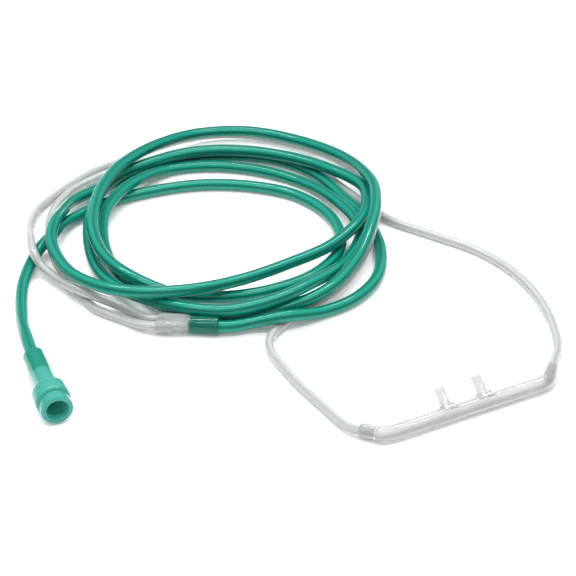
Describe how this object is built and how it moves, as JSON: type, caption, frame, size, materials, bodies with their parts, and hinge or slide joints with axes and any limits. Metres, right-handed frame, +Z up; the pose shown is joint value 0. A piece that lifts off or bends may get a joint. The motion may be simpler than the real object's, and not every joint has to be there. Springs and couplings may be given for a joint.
{
  "type": "nasal oxygen cannula",
  "caption": "Nasal oxygen cannula with a pronged face piece, clear ear tubes, a wye connector and coiled green supply tubing that ends in a funnel connector.",
  "frame": {"origin": "middle of the face piece's box, on the level surface that the cannula lies on", "axes": "+X along the longer side of the face piece's box, +Y toward the coil's far side, +Z up"},
  "size_m": [0.2181, 0.2256, 0.0176],
  "materials": {
    "clear_moulding": "glossy, soft translucent vinyl",
    "clear_tubing": "glossy, flexible clear vinyl",
    "clear_connector": "glossy, clear vinyl",
    "green_tubing": "glossy, flexible translucent green vinyl",
    "green_moulding": "satin, translucent green vinyl"
  },
  "bodies": {
    "root": {"face_piece": "clear_moulding", "lariat_tube_left": "clear_tubing", "lariat_tube_right": "clear_tubing", "wye_connector": "clear_connector", "supply_tube": "green_tubing", "funnel_connector": "green_moulding"}
  },
  "joints": []
}
